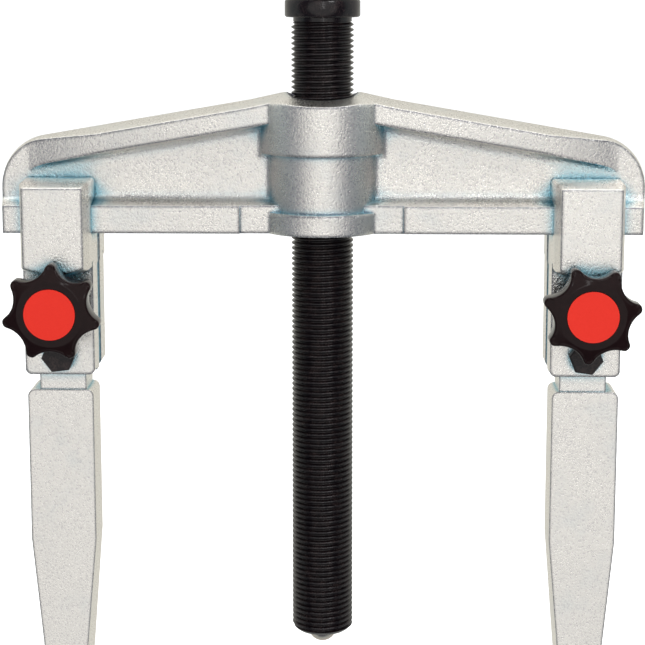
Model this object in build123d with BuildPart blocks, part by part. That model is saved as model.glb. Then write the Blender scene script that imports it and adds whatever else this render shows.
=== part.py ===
"""Two-jaw gear puller with quick-adjust sliding jaws, in millimetres.

The frame: the origin is where the spindle's axis meets the flat underside of the beam, X runs
along the beam, -Y is the front, where the knobs are, and Z is up. The spindle hangs down the
Z axis, and the legs hang from the beam with their hooks pointing inwards.
"""
from build123d import *
from math import radians, sin, tan
import os

os.makedirs("parts", exist_ok=True)

# Beam: one drop forging, parted at Y = 0, with the die's draft on every face
beam_half_length = 108.5      # at the parting line
beam_end_radius = 17.5        # where the top runs down round the end
draft = 10.0                  # degrees
ridge_height = 48.0           # of the two top lines, produced to the spindle axis
ridge_slope = 9.8             # degrees, falling outwards
rail_half_depth = 12.5
rail_height = 9.2             # at its front edge
web_half_thickness = 4.5
flange_half_depth = 11.8
flange_face_height = 6.4
flange_inset = 11.0           # of the flange, from the beam's end
flange_run_out = 24.0         # over which each end of the flange blends down to the web
boss_radius = 21.0
boss_top = 46.3
boss_shoulder = 3.0           # how far outside the boss its top starts to rise
boss_top_rim = 1.3            # flat land round the mouth of the threaded hole
boss_top_rounding = 8.6
boss_step = 26.3              # underside of the wide upper boss
boss_waist_radius = 18.2
collar_height = 7.0
rail_relief = 0.8             # the rail is this much slimmer beside the boss
rail_relief_half_length = 27.3
root_fillet = 2.4             # between the web and what stands on it

# Spindle: G 1/2 thread, drawn at its crests, with the hexagon forged on
thread_diameter = 20.9
thread_clearance = 0.05       # radial
thread_top = 69.8
thread_end = -139.6
neck_diameter = 19.6
spindle_collar_diameter = 25.2
spindle_collar_bottom = 71.2
spindle_collar_height = 5.8
hexagon_across_flats = 22.0
hexagon_across_corners = 24.4  # its corners are turned off to this
hexagon_height = 16.0
mouth_widening = 2.5          # of the turned mouth, over the thread's diameter
mouth_depth = 2.6
tip_ball_radius = 5.0
tip_ball_clearance = 0.05
tip_chamfer = 1.6
tip_cone_height = 1.7
tip_lip_radius = 4.85

# Jaws: two cheeks hooked over the rail, with the leg's tongue between them
jaw_x = 88.2                  # from the spindle axis to the middle of a jaw
cheek_width = 23.8
cheek_half_gap = 2.6
cheek_straight = 17.0         # where the block's front begins to slope in, from the parting plane
pad_depth = 22.0              # front of the block, from the parting plane
pad_draft = 16.0              # degrees
block_top = 16.1              # of the pad's front edge
block_bottom = -11.8          # at its corners
block_bulge = 2.5             # how much lower the middle of its bottom edge is
block_draft = 2.0             # degrees
plate_depth = 12.3
plate_width = 23.4
plate_bottom = -48.2
plate_corner = 2.0
plate_lap = 2.0               # how far the plate runs up into the block
block_corner = 1.5
rail_clearance = 0.3
web_clearance = 0.8

# Leg
tongue_clearance = 0.1        # each side, between the cheeks
leg_shift = 0.9               # the leg stands this much further out than its pivot
leg_width = 22.4
leg_half_depth = 7.5
shoulder_z = -54.6
shoulder_radius = 2.3
neck_width = 15.8
neck_half_depth = 7.0
neck_gap = 0.6                # below the cheeks, for the leg to tilt
tongue_top = -11.6
tongue_width = 22.0
crease_z = -107.5             # the leg narrows and thickens below this
hook_z = -156.0               # top of the hook: the reach below the beam
hook_root_width = 13.3        # of the leg just above the hook
outer_taper = 4.8             # how far the outer edge comes in by there
hook_throw = 22.2             # of its tip, inwards from the middle of the jaw
hook_half_depth = 9.8
hook_tip_height = 4.5
hook_heel_drop = 13.0         # of its heel, below its top
hook_inner_bevel = 2.0
hook_heel_radius = 5.0
tilt_range = 2.5              # degrees each way

# Pivot bolt, washer and nut, M6
pivot_z = -41.3
pivot_diameter = 6.0
pivot_clearance = 0.05        # radial, in the leg, the cheeks and the washer
pivot_head_across_flats = 10.0
pivot_head_height = 4.0
pivot_head_turn = {"left": 7.0, "right": -8.0}
nut_height = 5.0
pivot_washer_diameter = 12.0
pivot_washer_thickness = 1.6
pivot_bolt_overhang = 1.2

# Star knob with its cap, M8 stud and washer
knob_z = -24.2
knob_radius = 16.3
knob_valley_radius = 12.5
knob_scallop_radius = 9.5
knob_lobes = 7
knob_lobe_angle = {"left": 89.0, "right": -94.0}
knob_front = 30.6             # of its flat face, from the parting plane
knob_thickness = 8.0
knob_flat_radius = 10.7
knob_slope = 1.8              # how far the lobes fall back at their tips
knob_hub_diameter = 17.0
knob_washer_diameter = 18.0
knob_washer_thickness = 1.6
cap_radius = 8.4
cap_thickness = 1.6
cap_proud = 0.3
stud_diameter = 8.0
stud_clearance = 0.05         # radial, in the rear cheek's thread
stud_free_clearance = 0.4     # radial, in the front cheek and the leg
stud_end_inset = 1.0          # short of the rear cheek's back
stud_depth_in_knob = 5.0

front = Plane.XZ              # local x is X, local y is Z, and its normal is -Y
over = 5.0                    # how far cutting and trimming shapes run past what they trim
draft_rise = tan(radians(draft))


def ridge(x):
    """Height of the beam's top line at x."""
    return ridge_height - abs(x) * tan(radians(ridge_slope))


# ---------------------------------------------------------------- beam
# Side view of the forging at its parting plane, run on below the flat underside
shoulder_x = boss_radius + boss_shoulder
mouth_radius = (thread_diameter + mouth_widening) / 2
top_land = mouth_radius + boss_top_rim
with BuildSketch(front) as beam_outline:
    with BuildLine():
        Polyline(
            (-beam_half_length, -over),
            (-beam_half_length, ridge(beam_half_length)),
            (-shoulder_x, ridge(shoulder_x)),
            (-top_land, boss_top),
            (top_land, boss_top),
            (shoulder_x, ridge(shoulder_x)),
            (beam_half_length, ridge(beam_half_length)),
            (beam_half_length, -over),
            close=True,
        )
    make_face()
    fillet(beam_outline.vertices().sort_by(Axis.Y)[2:4], radius=beam_end_radius)
    fillet(beam_outline.vertices().sort_by(Axis.Y)[-4:], radius=boss_top_rounding)

# The recess between rail and flange, drawn on the web and widening outwards
web_to_rail = (rail_half_depth - web_half_thickness) * draft_rise
web_to_flange = (flange_half_depth - web_half_thickness) * draft_rise
recess_floor = rail_height + web_to_rail
recess_end = beam_half_length - flange_inset + web_to_flange
underside_drop = flange_half_depth * draft_rise + flange_face_height + web_to_flange
with BuildSketch(front.offset(web_half_thickness)) as recess_outline:
    with BuildLine():
        Polyline(
            (0, recess_floor),
            (beam_half_length + 2 * over, recess_floor),
            (beam_half_length + 2 * over, ridge_height),
            (recess_end, ridge_height),
            (recess_end, ridge(recess_end) - underside_drop),
            (0, ridge(0) - underside_drop),
            close=True,
        )
    make_face()
with BuildPart() as recesses:
    extrude(recess_outline.sketch, amount=boss_radius, taper=-draft)
    mirror(about=Plane.YZ)
    mirror(about=Plane.XZ)

# What is cut off the flange for its ends to run out smoothly, seen from above
with BuildPart() as run_outs:
    with BuildSketch(Plane.XY.offset((recess_floor + boss_step) / 2)):
        with BuildLine():
            Polyline(
                (recess_end - flange_run_out, flange_half_depth),
                (recess_end, web_half_thickness),
                (recess_end + over, web_half_thickness),
                (recess_end + over, flange_half_depth + over),
                (recess_end - flange_run_out, flange_half_depth + over),
                close=True,
            )
        make_face()
    extrude(amount=boss_top)
    mirror(about=Plane.YZ)
    mirror(about=Plane.XZ)

# The boss: three stacked rounds, trimmed to the drafted outline
with BuildPart() as boss:
    with BuildSketch(Plane.XY):
        Circle(boss_radius)
    extrude(amount=collar_height)
    with BuildSketch(Plane.XY):
        Circle(boss_waist_radius)
    extrude(amount=boss_step)
    with BuildSketch(Plane.XY.offset(boss_step)):
        Circle(boss_radius)
    extrude(amount=boss_top)
    extrude(beam_outline.sketch, amount=boss_radius + over, both=True, taper=draft,
            mode=Mode.INTERSECT)

# Slabs that the rail and the flange are trimmed to
rail_length = 2 * (beam_half_length + over)
with BuildPart() as slabs:
    with BuildSketch(Plane.XY):
        Rectangle(rail_length, 2 * rail_half_depth)
        Rectangle(2 * rail_relief_half_length, 2 * rail_half_depth, mode=Mode.SUBTRACT)
        Rectangle(2 * rail_relief_half_length, 2 * (rail_half_depth - rail_relief))
    extrude(amount=(recess_floor + boss_step) / 2)
    with BuildSketch(Plane.XY.offset((recess_floor + boss_step) / 2)):
        Rectangle(rail_length, 2 * flange_half_depth)
    extrude(amount=boss_top)

with BuildPart() as beam:
    extrude(beam_outline.sketch, amount=boss_radius + over, both=True, taper=draft)
    add(slabs.part, mode=Mode.INTERSECT)
    add(recesses.part, mode=Mode.SUBTRACT)
    add(boss.part)
    fillet(
        beam.edges().filter_by(
            lambda e: abs(abs(e.center().Y) - web_half_thickness) < 0.01
            and abs(e.center().X) < recess_end - web_to_flange
            and e.length > root_fillet
        ),
        radius=root_fillet,
    )
    add(run_outs.part, mode=Mode.SUBTRACT)
    with BuildSketch(Plane.XY.offset(-over)):
        Circle(thread_diameter / 2 + thread_clearance)
    extrude(amount=boss_top + 2 * over, mode=Mode.SUBTRACT)
    with BuildSketch(Plane.XY.offset(boss_top - mouth_depth)):
        Circle(mouth_radius)
    extrude(amount=mouth_depth + over, mode=Mode.SUBTRACT)
beam.part.label = "beam"
export_step(beam.part, "parts/beam.step")

# ---------------------------------------------------------------- spindle and its ball
tip_face = thread_end - tip_chamfer
ball_z = tip_face
hexagon_bottom = spindle_collar_bottom + spindle_collar_height
with BuildPart() as spindle:
    with BuildSketch(front):
        with BuildLine():
            Polyline(
                (0, tip_face - tip_cone_height),
                (tip_lip_radius, tip_face - tip_cone_height),
                (thread_diameter / 2 - tip_chamfer, tip_face),
                (thread_diameter / 2, thread_end),
                (thread_diameter / 2, thread_top),
                (neck_diameter / 2, thread_top),
                (neck_diameter / 2, spindle_collar_bottom),
                (spindle_collar_diameter / 2, spindle_collar_bottom),
                (spindle_collar_diameter / 2, hexagon_bottom),
                (0, hexagon_bottom),
                close=True,
            )
        make_face()
    revolve(axis=Axis.Z)
    with BuildSketch(Plane.XY.offset(hexagon_bottom)):
        RegularPolygon(hexagon_across_flats / 2, 6, major_radius=False)
        Circle(hexagon_across_corners / 2, mode=Mode.INTERSECT)
    extrude(amount=hexagon_height)
    chamfer(spindle.edges().group_by(Axis.Z)[-1], length=0.8)
    with Locations((0, 0, ball_z)):
        Sphere(tip_ball_radius + tip_ball_clearance, mode=Mode.SUBTRACT)
spindle.part.label = "spindle"
export_step(spindle.part, "parts/spindle.step")

with BuildPart() as spindle_ball:
    with Locations((0, 0, ball_z)):
        Sphere(tip_ball_radius)
spindle_ball.part.label = "spindle_ball"
export_step(spindle_ball.part, "parts/spindle_ball.step")

# ---------------------------------------------------------------- jaws
# Heights and depths that the jaws' pieces share
block_depth = cheek_straight - cheek_half_gap
pad_thickness = pad_depth - cheek_straight
block_root_top = (
    block_top + block_depth * tan(radians(block_draft)) + pad_thickness * tan(radians(pad_draft))
)
tongue_half = cheek_half_gap - tongue_clearance
tilt_swing = (knob_z - pivot_z) * sin(radians(tilt_range))
star_back = knob_front - knob_thickness
hub_back = plate_depth + knob_washer_thickness
stud_front = star_back + stud_depth_in_knob
stud_length = stud_front + plate_depth - stud_end_inset
nut_front = plate_depth + pivot_washer_thickness
bolt_length = plate_depth + nut_front + nut_height + pivot_bolt_overhang

# Section of the channel that clears half the rail, as depth and height
channel_section = [
    (0, -rail_clearance),
    (rail_half_depth + rail_clearance, -rail_clearance),
    (rail_half_depth + rail_clearance, rail_height + rail_clearance),
    (web_half_thickness + root_fillet + web_clearance, recess_floor + rail_clearance),
    (web_half_thickness + web_clearance, recess_floor + root_fillet + rail_clearance),
    (web_half_thickness + web_clearance, block_root_top + over),
    (0, block_root_top + over),
]

for side, sign in (("left", -1), ("right", 1)):
    middle = sign * jaw_x
    pivot_at = (middle, pivot_z)
    knob_at = (middle, knob_z)

    # Two mirrored cheeks, each drawn on a plane that looks outwards from the gap
    for face, way in (("front", -1), ("rear", 1)):
        outward = Plane(origin=(middle, 0, 0), x_dir=(-way, 0, 0), z_dir=(0, way, 0))
        across = Plane(origin=(middle, 0, 0), x_dir=(0, way, 0), z_dir=(way, 0, 0))
        with BuildPart() as cheek:
            with BuildSketch(outward.offset(cheek_half_gap)):
                with BuildLine():
                    Polyline(
                        (-cheek_width / 2, block_bottom),
                        (-cheek_width / 2, block_root_top),
                        (cheek_width / 2, block_root_top),
                        (cheek_width / 2, block_bottom),
                    )
                    SagittaArc(
                        (cheek_width / 2, block_bottom),
                        (-cheek_width / 2, block_bottom),
                        block_bulge,
                    )
                block = make_face()
                fillet(block.vertices(), radius=block_corner)
            extrude(amount=block_depth, taper=block_draft)
            pad_base = cheek.faces().sort_by(Axis((0, 0, 0), (0, way, 0)))[-1]
            extrude(pad_base, amount=pad_thickness, taper=pad_draft)
            with BuildSketch(outward.offset(cheek_half_gap)):
                with Locations((0, (plate_bottom + block_bottom + plate_lap) / 2)):
                    plate = Rectangle(plate_width, block_bottom + plate_lap - plate_bottom)
                fillet(plate.vertices().sort_by(Axis.Y)[:2], radius=plate_corner)
            extrude(amount=plate_depth - cheek_half_gap)
            with BuildSketch(across):
                with BuildLine():
                    Polyline(*channel_section, close=True)
                make_face()
            extrude(amount=cheek_width, both=True, mode=Mode.SUBTRACT)
            with BuildSketch(outward):
                with Locations((0, pivot_z)):
                    Circle(pivot_diameter / 2 + pivot_clearance)
                with Locations((0, knob_z)):
                    Circle(stud_diameter / 2 + (stud_clearance if way > 0 else stud_free_clearance))
            extrude(amount=pad_depth, mode=Mode.SUBTRACT)
        cheek.part.label = f"{side}_{face}_cheek"
        export_step(cheek.part, f"parts/{side}_{face}_cheek.step")

    # Leg: a thin tongue between the cheeks, a neck, and the long drafted leg with its hook
    inner = sign * (jaw_x + leg_shift - leg_width / 2)
    outer = sign * (jaw_x + leg_shift + leg_width / 2)
    hook_outer = outer - sign * outer_taper
    hook_inner = hook_outer - sign * hook_root_width
    hook_tip = sign * (jaw_x - hook_throw)
    hook_heel_z = hook_z - hook_heel_drop
    with BuildPart() as leg:
        with BuildSketch(front) as leg_outline:
            with BuildLine():
                Polyline(
                    (inner, shoulder_z),
                    (outer, shoulder_z),
                    (outer, crease_z),
                    (hook_outer, hook_z),
                    (hook_outer, hook_heel_z),
                    (hook_tip, hook_z - hook_tip_height),
                    (hook_tip, hook_z),
                    (hook_inner, hook_z),
                    (inner, crease_z),
                    close=True,
                )
            make_face()
            fillet(leg_outline.vertices().sort_by(Axis.Y)[-2:], radius=shoulder_radius)
            fillet(leg_outline.vertices().sort_by(Axis.Y)[0], radius=hook_heel_radius)
            inside_corner = leg_outline.vertices().sort_by_distance((hook_inner, hook_z))[0]
            chamfer(inside_corner, length=hook_inner_bevel)
        extrude(amount=hook_half_depth, both=True)
        with BuildSketch(Plane.YZ):
            with BuildLine():
                Polyline(
                    (-leg_half_depth, shoulder_z + over),
                    (-leg_half_depth, crease_z),
                    (-hook_half_depth, hook_z),
                    (-hook_half_depth, hook_heel_z - over),
                    (hook_half_depth, hook_heel_z - over),
                    (hook_half_depth, hook_z),
                    (leg_half_depth, crease_z),
                    (leg_half_depth, shoulder_z + over),
                    close=True,
                )
            make_face()
        extrude(amount=2 * sign * jaw_x, mode=Mode.INTERSECT)
        neck_top = plate_bottom - neck_gap
        with BuildSketch(front):
            with Locations((middle, (neck_top + shoulder_z) / 2 - over / 2)):
                Rectangle(neck_width, neck_top - shoulder_z + over)
        extrude(amount=neck_half_depth, both=True)
        with BuildSketch(front):
            with Locations((middle, (tongue_top + neck_top) / 2)):
                Rectangle(tongue_width, tongue_top - neck_top)
        extrude(amount=tongue_half, both=True)
        with BuildSketch(front):
            with Locations(pivot_at):
                Circle(pivot_diameter / 2 + pivot_clearance)
            with Locations(knob_at):
                slot_width = stud_diameter + 2 * stud_free_clearance
                SlotCenterToCenter(2 * tilt_swing, slot_width)
        extrude(amount=neck_half_depth, both=True, mode=Mode.SUBTRACT)
    leg.part.label = f"{side}_leg"
    export_step(leg.part, f"parts/{side}_leg.step")

    # Pivot bolt through cheeks and tongue, with its washer and nut at the back
    with BuildPart() as pivot_bolt:
        with BuildSketch(front.offset(plate_depth)):
            with Locations(pivot_at):
                RegularPolygon(
                    pivot_head_across_flats / 2,
                    6,
                    major_radius=False,
                    rotation=pivot_head_turn[side],
                )
        extrude(amount=pivot_head_height)
        chamfer(pivot_bolt.edges().group_by(Axis.Y)[0], length=0.5)
        with BuildSketch(front.offset(plate_depth)):
            with Locations(pivot_at):
                Circle(pivot_diameter / 2)
        extrude(amount=-bolt_length)
    pivot_bolt.part.label = f"{side}_pivot_bolt"
    export_step(pivot_bolt.part, f"parts/{side}_pivot_bolt.step")

    with BuildPart() as pivot_washer:
        with BuildSketch(front.offset(-plate_depth)):
            with Locations(pivot_at):
                Circle(pivot_washer_diameter / 2)
                Circle(pivot_diameter / 2 + pivot_clearance, mode=Mode.SUBTRACT)
        extrude(amount=-pivot_washer_thickness)
    pivot_washer.part.label = f"{side}_pivot_washer"
    export_step(pivot_washer.part, f"parts/{side}_pivot_washer.step")

    with BuildPart() as pivot_nut:
        with BuildSketch(front.offset(-nut_front)):
            with Locations(pivot_at):
                RegularPolygon(pivot_head_across_flats / 2, 6, major_radius=False)
                Circle(pivot_diameter / 2, mode=Mode.SUBTRACT)
        extrude(amount=-nut_height)
    pivot_nut.part.label = f"{side}_pivot_nut"
    export_step(pivot_nut.part, f"parts/{side}_pivot_nut.step")

    # Star knob, its pressed-in cap and its moulded-in stud
    knob_axis = Axis((middle, 0, knob_z), (0, 1, 0))
    knob_profile = Plane(origin=(middle, 0, knob_z), x_dir=(1, 0, 0), z_dir=(0, 0, 1))
    scallop_centre = knob_valley_radius + knob_scallop_radius
    with BuildPart() as knob:
        with BuildSketch(front.offset(star_back)):
            with Locations(knob_at):
                Circle(knob_radius)
                with PolarLocations(
                    scallop_centre,
                    knob_lobes,
                    start_angle=knob_lobe_angle[side] + 180 / knob_lobes,
                ):
                    Circle(knob_scallop_radius, mode=Mode.SUBTRACT)
        extrude(amount=knob_thickness)
        with BuildSketch(knob_profile):
            with BuildLine():
                Polyline(
                    (0, -knob_front),
                    (knob_flat_radius, -knob_front),
                    (knob_radius, knob_slope - knob_front),
                    (knob_radius, -star_back),
                    (0, -star_back),
                    close=True,
                )
            make_face()
        revolve(axis=knob_axis, mode=Mode.INTERSECT)
        with BuildSketch(front.offset(star_back)):
            with Locations(knob_at):
                Circle(knob_hub_diameter / 2)
        extrude(amount=hub_back - star_back)
        with BuildSketch(front.offset(hub_back)):
            with Locations(knob_at):
                Circle(stud_diameter / 2)
        extrude(amount=stud_front - hub_back, mode=Mode.SUBTRACT)
        with BuildSketch(front.offset(knob_front + cap_proud - cap_thickness)):
            with Locations(knob_at):
                Circle(cap_radius)
        extrude(amount=cap_thickness, mode=Mode.SUBTRACT)
    knob.part.label = f"{side}_knob"
    export_step(knob.part, f"parts/{side}_knob.step")

    with BuildPart() as knob_cap:
        with BuildSketch(front.offset(knob_front + cap_proud - cap_thickness)):
            with Locations(knob_at):
                Circle(cap_radius)
        extrude(amount=cap_thickness)
    knob_cap.part.label = f"{side}_knob_cap"
    export_step(knob_cap.part, f"parts/{side}_knob_cap.step")

    with BuildPart() as knob_stud:
        with BuildSketch(front.offset(stud_front)):
            with Locations(knob_at):
                Circle(stud_diameter / 2)
        extrude(amount=-stud_length)
    knob_stud.part.label = f"{side}_knob_stud"
    export_step(knob_stud.part, f"parts/{side}_knob_stud.step")

    with BuildPart() as knob_washer:
        with BuildSketch(front.offset(plate_depth)):
            with Locations(knob_at):
                Circle(knob_washer_diameter / 2)
                Circle(stud_diameter / 2 + stud_free_clearance, mode=Mode.SUBTRACT)
        extrude(amount=knob_washer_thickness)
    knob_washer.part.label = f"{side}_knob_washer"
    export_step(knob_washer.part, f"parts/{side}_knob_washer.step")
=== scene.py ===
from math import atan2, cos, pi, radians, sin

import bmesh
import bpy
import numpy as np
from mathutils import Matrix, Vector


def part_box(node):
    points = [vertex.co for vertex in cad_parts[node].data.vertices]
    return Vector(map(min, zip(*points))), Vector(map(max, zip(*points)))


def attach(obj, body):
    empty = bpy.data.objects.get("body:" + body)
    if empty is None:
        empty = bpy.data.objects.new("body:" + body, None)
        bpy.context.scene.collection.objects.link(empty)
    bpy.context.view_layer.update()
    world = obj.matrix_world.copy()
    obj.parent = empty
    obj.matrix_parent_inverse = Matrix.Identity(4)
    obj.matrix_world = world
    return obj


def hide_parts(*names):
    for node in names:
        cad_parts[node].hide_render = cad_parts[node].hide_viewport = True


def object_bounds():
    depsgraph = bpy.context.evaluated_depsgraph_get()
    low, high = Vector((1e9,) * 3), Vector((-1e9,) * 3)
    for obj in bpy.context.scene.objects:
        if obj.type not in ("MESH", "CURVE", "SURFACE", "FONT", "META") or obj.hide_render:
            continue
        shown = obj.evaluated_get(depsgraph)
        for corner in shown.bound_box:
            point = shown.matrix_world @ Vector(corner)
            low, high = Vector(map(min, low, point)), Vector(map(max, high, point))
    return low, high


# A two-jaw gear puller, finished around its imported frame. Metres: X runs along the beam, -Y is
# the front, and Z is up the spindle from the beam's flat underside.
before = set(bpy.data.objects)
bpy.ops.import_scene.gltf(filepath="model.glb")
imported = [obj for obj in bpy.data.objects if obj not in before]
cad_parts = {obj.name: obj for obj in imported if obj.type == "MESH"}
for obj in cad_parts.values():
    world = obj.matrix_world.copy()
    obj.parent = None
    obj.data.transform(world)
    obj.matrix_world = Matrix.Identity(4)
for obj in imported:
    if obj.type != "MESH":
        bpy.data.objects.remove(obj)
cad_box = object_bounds()
mm = 0.001


# ---------------------------------------------------------------- beam
# One drop forging in steel, blasted and bright zinc plated: pale and sparkling where the blast
# has pitted it, with a painted blue-green shade in its corners, and a painted dark shade inside
# the mouth of its threaded hole.

class Reading:
    """A value that varies over a surface. It wraps the socket that gives it, and arithmetic on it
    adds Math nodes to the finish that it belongs to."""

    def __init__(self, finish, socket):
        self.finish, self.socket = finish, socket

    def math(self, operation, *values, clamp=False):
        settings = {"operation": operation, "use_clamp": clamp}
        return self.finish.node("ShaderNodeMath", settings, dict(enumerate(values)))["Value"]

    def __add__(self, other): return self.math("ADD", self, other)
    def __radd__(self, other): return self.math("ADD", other, self)
    def __sub__(self, other): return self.math("SUBTRACT", self, other)
    def __rsub__(self, other): return self.math("SUBTRACT", other, self)
    def __mul__(self, other): return self.math("MULTIPLY", self, other)
    def __rmul__(self, other): return self.math("MULTIPLY", other, self)
    def __pow__(self, other): return self.math("POWER", self, other)

    def held(self):
        """Held between 0 and 1."""
        return self.math("ADD", self, 0, clamp=True)

    def ramp(self, low, high):
        """0 below low, 1 above high, and a smooth step between them."""
        values = {"Value": self, "From Min": low, "From Max": high}
        return self.finish.node("ShaderNodeMapRange", {"interpolation_type": "SMOOTHSTEP"},
                                values)["Result"]


class Finish:
    """A procedural material on a piece's own place in the frame. Constants go straight on the
    sockets of its Principled surface."""

    def __init__(self, name, **constants):
        self.material = bpy.data.materials.new(name)
        self.material.use_nodes = True
        self.tree = self.material.node_tree
        self.surface = self.tree.nodes["Principled BSDF"]
        for socket, value in constants.items():
            self.surface.inputs[socket.replace("_", " ")].default_value = value
        self.place = self.node("ShaderNodeTexCoord")["Object"]

    def node(self, kind, settings=None, inputs=None):
        """Adds a node, sets its settings, then sets or links its inputs. Returns its outputs."""
        made = self.tree.nodes.new(kind)
        for setting, value in (settings or {}).items():
            setattr(made, setting, value)
        for socket, value in (inputs or {}).items():
            if isinstance(value, Reading):
                self.tree.links.new(value.socket, made.inputs[socket])
            else:
                made.inputs[socket].default_value = value
        return {output.name: Reading(self, output) for output in made.outputs if output.enabled}

    def noise(self, size, detail=2.0, roughness=0.5):
        """Cloudy noise, 0 to 1, with features of that size in metres."""
        return self.node("ShaderNodeTexNoise", inputs={
            "Vector": self.place, "Scale": 1 / size, "Detail": detail,
            "Roughness": roughness})["Fac"]

    def parts_of(self, vector):
        """The X, Y and Z of a vector."""
        return self.node("ShaderNodeSeparateXYZ", inputs={"Vector": vector})

    def blend(self, share, first, second):
        """Colour first where share is 0 or less, and second where it is 1 or more."""
        made = self.node("ShaderNodeMix", {"data_type": "RGBA"}, {0: share, 6: first, 7: second})
        return made["Result"]

    def give(self, socket, value):
        """Sends a reading to a socket of the surface."""
        self.tree.links.new(value.socket, self.surface.inputs[socket])

    def relief(self, height, depth, under=None):
        """Raises the surface by height times depth, in metres, over another normal if one is
        given."""
        inputs = {"Height": height, "Distance": depth}
        if under:
            inputs["Normal"] = under
        self.give("Normal", self.node("ShaderNodeBump", inputs=inputs)["Normal"])


def forge(node, finish, body, edge):
    """Stands a copy of a forging's CAD mesh in its place, with every edge rounded to that radius.
    The copy's loose triangles are merged and its flat faces made whole first."""
    turning = radians(28)
    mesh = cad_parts[node].data.copy()
    mesh.name = node + "_forged"
    shape = bmesh.new()
    shape.from_mesh(mesh)
    bmesh.ops.remove_doubles(shape, verts=shape.verts, dist=0.001 * mm)
    bmesh.ops.dissolve_limit(shape, angle_limit=radians(0.3), verts=shape.verts,
                             edges=shape.edges)
    shape.to_mesh(mesh)
    shape.free()
    mesh.materials.clear()
    mesh.materials.append(finish.material)
    mesh.attributes.remove(mesh.attributes["custom_normal"])
    mesh.polygons.foreach_set("use_smooth", np.ones(len(mesh.polygons), bool))
    mesh.set_sharp_from_angle(angle=turning)
    piece = bpy.data.objects.new(node + "_forged", mesh)
    bpy.context.scene.collection.objects.link(piece)
    rounding = piece.modifiers.new("worn_edges", "BEVEL")
    rounding.limit_method, rounding.angle_limit = "ANGLE", turning
    rounding.width, rounding.segments = edge, 3
    rounding.use_clamp_overlap = True
    rounding.harden_normals = True
    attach(piece, body)
    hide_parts(node)


def zinc(name, grain=0.7 * mm, depth=0.26 * mm, edge=1.4 * mm, roughness=0.28, mouth=0.0):
    """Zinc on a blasted forging: pitted with that size and depth, with a painted blue-green shade
    in its corners, found by ambient occlusion, and a painted dark shade in a broken line along the
    rounded edges of its front and back. Within mouth of the spindle's axis it is painted dark, as
    shade inside the threaded hole's mouth."""
    plate, painted_corner_shade = (0.92, 0.89, 0.835, 1), (0.24, 0.55, 0.66, 1)
    dust, painted_edge_shade, painted_mouth_shade = (0.46, 0.44, 0.47, 1), (0.10, 0.10, 0.14, 1), (0.11, 0.11, 0.15, 1)
    finish = Finish(name, Metallic=1.0)
    pits = finish.noise(grain, detail=2.5, roughness=0.7)
    clouds = finish.noise(14 * mm, detail=3.0)
    # Painted shade: a blue-green shade colour mixed in where ambient occlusion finds corners, with
    # a little cloudy variation everywhere
    corner = 1 - finish.node("ShaderNodeAmbientOcclusion", {"samples": 8},
                             {"Distance": 7 * mm})["AO"]
    painted_shade_share = corner.ramp(0.16, 0.6) + clouds.ramp(0.5, 0.8) * 0.10
    dusty = (1.6 - 3.2 * pits).held() * 0.8
    colour = finish.blend(dusty, finish.blend(painted_shade_share, plate, painted_corner_shade), dust)

    normal = finish.node("ShaderNodeNewGeometry")["Normal"]
    rounded = finish.node("ShaderNodeBevel", {"samples": 6}, {"Radius": edge})["Normal"]
    turned = 1 - finish.node("ShaderNodeVectorMath", {"operation": "DOT_PRODUCT"},
                             {0: normal, 1: rounded})["Value"]
    depthwise = finish.parts_of(normal)["Y"]
    frontal = (depthwise * depthwise).ramp(0.55, 0.85)
    # Painted shade: a dark broken line on the front and back faces where the rounded edges turn
    # away
    broken = turned.ramp(0.008, 0.05) * frontal * pits.ramp(0.36, 0.52)
    colour = finish.blend(broken * 0.9, colour, painted_edge_shade)
    # Painted shade: within mouth of the spindle's axis the colour is painted dark, as shade inside
    # the threaded hole's mouth
    if mouth:
        place = finish.parts_of(finish.place)
        from_axis = (place["X"] * place["X"] + place["Y"] * place["Y"]) ** 0.5
        colour = finish.blend(1 - from_axis.ramp(mouth, mouth + 0.2 * mm), colour, painted_mouth_shade)
    finish.give("Base Color", colour)
    finish.give("Roughness", roughness + 0.1 * (clouds - 0.5) + 0.12 * (pits - 0.5))
    finish.relief(pits, depth, rounded)
    return finish


forge("beam", zinc("zinc_beam", edge=1.8 * mm, mouth=11.8 * mm), "beam", edge=1.2 * mm)


# ---------------------------------------------------------------- spindle
# A rod with a pipe thread rolled along its whole length, in oiled black oxide, with its collar
# and hexagon forged on. Its lower end is chamfered round the ball that it turns on.

def add_piece(name, x, y, z, finish, body, replaced, sharp=50):
    """Makes a closed piece from grids of x, y and z, whose rows run along it and whose last
    column meets the first. Doubles are merged, so a row at one point closes an end."""
    rows, columns = x.shape
    points = np.stack([x, y, z], axis=-1).reshape(-1, 3)
    row, column = np.meshgrid(np.arange(rows - 1), np.arange(columns - 1), indexing="ij")
    corner = (row * columns + column).ravel()
    faces = np.stack([corner, corner + 1, corner + columns + 1, corner + columns], axis=-1)
    mesh = bpy.data.meshes.new(name)
    mesh.from_pydata(points.tolist(), [], faces.tolist())
    shape = bmesh.new()
    shape.from_mesh(mesh)
    bmesh.ops.remove_doubles(shape, verts=shape.verts, dist=0.0005 * mm)
    bmesh.ops.recalc_face_normals(shape, faces=shape.faces)
    shape.to_mesh(mesh)
    shape.free()
    mesh.polygons.foreach_set("use_smooth", np.ones(len(mesh.polygons), bool))
    mesh.set_sharp_from_angle(angle=radians(sharp))
    mesh.materials.append(finish.material)
    piece = bpy.data.objects.new(name, mesh)
    bpy.context.scene.collection.objects.link(piece)
    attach(piece, body)
    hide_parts(replaced)


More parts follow.
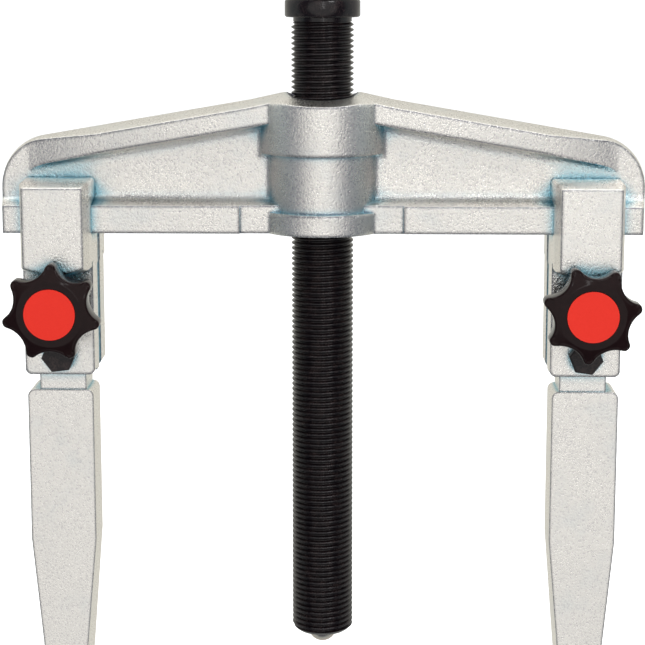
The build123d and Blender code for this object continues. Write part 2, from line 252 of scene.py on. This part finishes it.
def threaded(bottom, top, crest, pitch, depth, columns, steps=12):
    """Rows of a right-hand thread between two heights, as grids of turn, radius and height. Each
    row climbs one pitch in a turn. Across a pitch the radius falls from the crest by depth, along
    a V with a rounded foot and a flat crest, and it runs out in a 45 degree cone at either end."""
    crest_share, flank_share = 0.22, 0.66
    turn = np.linspace(0, 2 * pi, columns + 1)
    row = np.arange(int((top - bottom) / pitch + 2) * steps + 1)
    height = bottom + ((row[:, None] / steps - 1) + turn / (2 * pi)) * pitch
    across = np.abs((row / steps) % 1 - 0.5) * 2
    vee = np.clip((across - crest_share) / flank_share, 0, 1)
    rounded = vee * 0.8 + (vee * vee * (3 - 2 * vee)) * 0.2
    radius = np.repeat((crest - depth * rounded)[:, None], columns + 1, axis=1)
    height = np.clip(height, bottom, top)
    run_out = crest - depth + np.minimum(height - bottom, top - height)
    return np.broadcast_to(turn, radius.shape), np.minimum(radius, run_out), height


def lathe(profile, columns):
    """Rows of a turned shape, from its (radius, height) points, as grids of turn, radius and
    height."""
    radius, height = np.array(profile, float).T
    turn = np.linspace(0, 2 * pi, columns + 1)
    return np.broadcast_arrays(turn, radius[:, None], height[:, None])


def black_oxide(name, roughness, dust=0.0):
    """Black oxide on steel: brown-black, satin, faintly cloudy, with dust caught on it."""
    finish = Finish(name, Specular_IOR_Level=0.4)
    clouds = finish.noise(3 * mm, detail=4.0)
    specks = finish.noise(0.5 * mm)
    shade = (clouds * 0.5 + specks * 0.5).ramp(0.4, 0.75)
    finish.give("Base Color", finish.blend(shade * (0.35 + dust), (0.005, 0.003, 0.004, 1),
                                           (0.075, 0.05, 0.045, 1)))
    finish.give("Roughness", roughness + 0.2 * (clouds - 0.5))
    finish.relief(specks, 0.02 * mm)
    return finish


low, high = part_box("spindle")
columns = 60
crest = 10.45 * mm
pitch = 25.4 * mm / 14
thread_bottom, thread_top = -140.76 * mm, 69.8 * mm
lip, lip_rounding = 4.85 * mm, 0.3 * mm
chamfer_foot = (crest - 1.6 * mm, -141.2 * mm)
neck = 9.8 * mm
collar, collar_edge, collar_bottom = 12.6 * mm, 0.5 * mm, 71.2 * mm
hexagon_bottom = high.z - 16 * mm
half_flats, half_corners = 11 * mm, 12.2 * mm
chamfer_height, chamfer_slope = 1.2 * mm, 1.6
untrimmed = 30 * mm

tip = lathe([
    (0, low.z), (lip - 0.85 * mm, low.z), (lip, low.z + lip_rounding), chamfer_foot], columns)
thread = threaded(thread_bottom, thread_top, crest, pitch, 0.57 * pitch, columns)
neck_and_collar = lathe([
    (neck, thread_top), (neck, collar_bottom), (collar - collar_edge, collar_bottom),
    (collar, collar_bottom + collar_edge), (collar, hexagon_bottom - 0.6 * mm),
    (collar - 0.4 * mm, hexagon_bottom)], columns)
turn, radius, height = lathe([
    (untrimmed, hexagon_bottom), (untrimmed, high.z - chamfer_height), (untrimmed, high.z),
    (0, high.z)], columns)
flats = half_flats / np.cos((turn + pi / 6) % (pi / 3) - pi / 6)
corners = half_corners - np.clip(height - high.z + chamfer_height, 0, 1) * chamfer_slope
hexagon = turn, np.minimum(np.minimum(radius, flats), corners), height

turn, radius, height = [
    np.concatenate(grids) for grids in zip(tip, thread, neck_and_collar, hexagon)]
add_piece("spindle_threaded", radius * np.cos(turn), radius * np.sin(turn), height,
          black_oxide("oxide_spindle", roughness=0.2), "spindle", "spindle")


# ---------------------------------------------------------------- spindle ball
# A hardened bearing ball set in the spindle's lower end, dulled by grease. It stays still on the
# shaft's centre while the spindle turns on it.

def paint(finish, *nodes):
    """Gives CAD nodes a finish."""
    for node in nodes:
        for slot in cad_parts[node].material_slots:
            slot.material = finish.material


ball_steel = Finish("ball_steel", Metallic=1.0, Roughness=0.25)
haze = ball_steel.noise(1.5 * mm, detail=3.0)
ball_steel.give("Base Color", ball_steel.blend(haze, (0.42, 0.36, 0.31, 1), (0.62, 0.56, 0.5, 1)))
paint(ball_steel, "spindle_ball")


# ---------------------------------------------------------------- cheeks
# Two mirrored forgings a side, hooked over the rail with their plates hanging below it. They
# are blasted more lightly than the beam, and zinc plated like it.

for side in ("left", "right"):
    cheek_zinc = zinc(side + "_zinc_cheek", grain=0.6 * mm, depth=0.16 * mm, edge=1.6 * mm)
    for face in ("_front_cheek", "_rear_cheek"):
        forge(side + face, cheek_zinc, side + "_carriage", edge=0.8 * mm)


# ---------------------------------------------------------------- legs
# Long drafted forgings with a thin tongue above and a hook below, zinc plated, with the
# shallowest pits of the three.

for side in ("left", "right"):
    leg_zinc = zinc(side + "_zinc_leg", grain=0.6 * mm, depth=0.14 * mm, edge=1.2 * mm)
    forge(side + "_leg", leg_zinc, side + "_leg", edge=0.7 * mm)


# ---------------------------------------------------------------- bolts, nuts, washers and studs
# Stock fasteners: the pivot bolts and their nuts in dusty black oxide, and the washers and the
# knobs' studs turned bright and zinc plated.

bolt_black = black_oxide("oxide_bolt", roughness=0.45, dust=0.3)
zinc_turned = zinc("zinc_turned", grain=0.4 * mm, depth=0.01 * mm, edge=0.3 * mm, roughness=0.3)
for side in ("left", "right"):
    paint(bolt_black, side + "_pivot_bolt", side + "_pivot_nut")
    paint(zinc_turned, side + "_pivot_washer", side + "_knob_washer", side + "_knob_stud")


# ---------------------------------------------------------------- star knobs
# Seven-lobed knobs moulded in glossy black thermoset round the stud. Each has a flat ring about
# the cap's seat, and lobes that fall back from it to rounded tips.

glossy_black = Finish("glossy_black", Roughness=0.1, Specular_IOR_Level=0.16)
soot = glossy_black.noise(2 * mm, detail=3.0)
glossy_black.give("Base Color", glossy_black.blend(soot, (0.009, 0.004, 0.004, 1),
                                                   (0.018, 0.008, 0.008, 1)))

lobes = 7
knob_reach = 16.3 * mm
knob_thickness = 8 * mm
seat, seat_depth, seat_edge = 8.4 * mm, 1.3 * mm, 0.15 * mm
flat_ring = 10.7 * mm
lobe_fall = 1.8 * mm
front_rounding, back_rounding = 1.0 * mm, 0.6 * mm
hub = 8.5 * mm


def star(angle, inset):
    """Radius of the knob's outline at an angle from a lobe's middle, drawn in by inset: a round
    tip on each lobe, tangent to the scallops on both sides of it."""
    tip_round = 1.8 * mm
    scallop, reach = 7.74 * mm, 20.24 * mm
    half = pi / lobes
    away = np.abs((angle + half) % (2 * half) - half)
    centre = knob_reach - tip_round
    touch_x = reach * cos(half) + (centre - reach * cos(half)) * scallop / (scallop + tip_round)
    touch_y = reach * sin(half) * (1 - scallop / (scallop + tip_round))
    on_tip = away < atan2(touch_y, touch_x)
    convex = np.maximum((tip_round - inset) ** 2 - (centre * np.sin(away)) ** 2, 0)
    hollow = np.maximum((scallop + inset) ** 2 - (reach * np.sin(half - away)) ** 2, 0)
    return np.where(on_tip, centre * np.cos(away) + np.sqrt(convex),
                    reach * np.cos(half - away) - np.sqrt(hollow))


for side, first_lobe in (("left", 89), ("right", -94)):
    cap_low, cap_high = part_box(side + "_knob_cap")
    knob_low, knob_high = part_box(side + "_knob")
    middle_x, middle_z = (cap_low.x + cap_high.x) / 2, (cap_low.z + cap_high.z) / 2
    hub_depth = knob_high.y - knob_low.y
    turn = np.linspace(0, 2 * pi, lobes * 48 + 1)
    star_turn = turn - radians(first_lobe)
    edge = star(star_turn, front_rounding)
    fall = lobe_fall * (edge - flat_ring) / (knob_reach - front_rounding - flat_ring)

    # Rows as radius and depth behind the flat ring, from the seat's middle to the hub's
    rows = [(0, seat_depth), (seat, seat_depth), (seat, seat_edge), (seat + seat_edge, 0),
            (flat_ring - 0.2 * mm, 0), (flat_ring, 0.02 * mm)]
    for share in np.linspace(0.12, 1, 8):
        rows.append((flat_ring + (edge - flat_ring) * share, fall * share))
    for bend in np.radians(np.linspace(15, 90, 6)):
        rows.append((star(star_turn, front_rounding * (1 - sin(bend))),
                     fall + front_rounding * (1 - cos(bend))))
    for bend in np.radians(np.linspace(0, 90, 5)):
        rows.append((star(star_turn, back_rounding * (1 - cos(bend))),
                     knob_thickness - back_rounding * (1 - sin(bend))))
    rows += [(hub, knob_thickness), (hub, hub_depth), (0, hub_depth)]
    radius = np.stack([np.broadcast_to(out, turn.shape) for out, _ in rows])
    depth = np.stack([np.broadcast_to(back, turn.shape) for _, back in rows])
    add_piece(side + "_star_knob", middle_x + radius * np.cos(turn), knob_low.y + depth,
              middle_z + radius * np.sin(turn), glossy_black, side + "_knob",
              side + "_knob", sharp=40)


# ---------------------------------------------------------------- knob caps
# Satin red discs moulded in a softer plastic and pressed into the knobs' seats, where they hide
# the ends of the studs.

cap_red = Finish("cap_red", Roughness=0.35, Specular_IOR_Level=0.25)
fleck = cap_red.noise(0.6 * mm)
cap_red.give("Base Color", cap_red.blend(fleck, (0.88, 0.026, 0.012, 1), (0.93, 0.034, 0.017, 1)))
paint(cap_red, "left_knob_cap", "right_knob_cap")


# ---------------------------------------------------------------- studio
# A pale sweep under and behind the puller, soft lights above and in front of it, and a room that
# is bright behind the camera, dark in a ring round that, and blue-green to the sides.

across = np.linspace(-4, 4, 3)[None, :]
bend = np.radians(np.linspace(0, 90, 13))
along = np.concatenate([[-4], 1.6 + 0.9 * np.sin(bend), [2.5]])[:, None]
rise = np.concatenate([[0], 0.9 - 0.9 * np.cos(bend), [4]])[:, None] + cad_box[0][2]
points = np.stack(np.broadcast_arrays(across, along, rise), axis=-1).reshape(-1, 3)
corner = (np.arange(len(along) - 1)[:, None] * 3 + np.arange(2)).ravel()
faces = np.stack([corner, corner + 1, corner + 4, corner + 3], axis=-1)
sweep_mesh = bpy.data.meshes.new("sweep")
sweep_mesh.from_pydata(points.tolist(), [], faces.tolist())
sweep_mesh.polygons.foreach_set("use_smooth", np.ones(len(sweep_mesh.polygons), bool))
paper = Finish("pale_paper", Roughness=0.9, Emission_Strength=0.62, Emission_Color=(1, 1, 1, 1))
fibre = paper.noise(3 * mm)
paper.give("Base Color", paper.blend(fibre, (0.9, 0.9, 0.9, 1), (0.93, 0.93, 0.93, 1)))
sweep_mesh.materials.append(paper.material)
sweep = bpy.data.objects.new("sweep", sweep_mesh)
bpy.context.scene.collection.objects.link(sweep)
sweep.visible_diffuse = sweep.visible_glossy = False


def softbox(name, place, size, radiance):
    """A soft light of that width and height at place, turned to the puller."""
    light = bpy.data.lights.new(name, "AREA")
    light.shape, light.size, light.size_y = "RECTANGLE", size[0], size[1]
    light.energy = radiance * pi * size[0] * size[1]
    made = bpy.data.objects.new(name, light)
    bpy.context.scene.collection.objects.link(made)
    made.location = place
    made.rotation_euler = (-made.location).to_track_quat("-Z", "Y").to_euler()
    made.visible_camera = False
    return made


softbox("high_right", (0.55, -0.9, 0.85), (0.35, 0.25), 9.0)
softbox("overhead", (0, 0.1, 1.2), (1.5, 1.2), 1.8)
softbox("strip", (0.12, -1.6, 0.5), (0.10, 1.2), 4.5)
softbox("fill", (0.2, -1.5, 0.6), (1.5, 1.0), 1.75).visible_glossy = False

# The room's shades, from straight behind the camera to straight ahead of it
shades = [(0.0, (0.84, 0.84, 0.84)), (0.12, (0.82, 0.82, 0.82)), (0.175, (0.10, 0.10, 0.14)),
          (0.33, (0.09, 0.10, 0.15)), (0.42, (0.50, 0.58, 0.59)), (0.62, (0.62, 0.66, 0.66)),
          (0.80, (0.72, 0.71, 0.66)), (1.0, (0.74, 0.73, 0.67))]
world = bpy.data.worlds.new("room")
world.use_nodes = True
room = world.node_tree
facing = room.nodes.new("ShaderNodeSeparateXYZ")
room.links.new(room.nodes.new("ShaderNodeTexCoord").outputs["Generated"], facing.inputs["Vector"])
ahead = room.nodes.new("ShaderNodeMapRange")
ahead.inputs["From Min"].default_value = -1
room.links.new(facing.outputs["Y"], ahead.inputs["Value"])
walls = room.nodes.new("ShaderNodeValToRGB")
room.links.new(ahead.outputs["Result"], walls.inputs["Fac"])
for place, _ in shades[2:]:
    walls.color_ramp.elements.new(place)
for stop, (place, shade) in zip(walls.color_ramp.elements, shades):
    stop.position, stop.color = place, (*shade, 1)
room.links.new(walls.outputs["Color"], room.nodes["Background"].inputs["Color"])
bpy.context.scene.world = world
bpy.context.scene.view_settings.view_transform = "Standard"

distance, eye = 587.7 * mm, 87.4 * mm
azimuth, pitch_down = radians(1.30), radians(9.0)
camera = bpy.data.objects.new("camera", bpy.data.cameras.new("camera"))
bpy.context.scene.collection.objects.link(camera)
camera.location = (distance * sin(azimuth), -distance * cos(azimuth), eye)
camera.rotation_euler = (pi / 2 - pitch_down, 0, azimuth)
camera.data.sensor_width = 36
camera.data.lens = 97.81
camera.data.shift_y = -0.12
bpy.context.scene.camera = camera
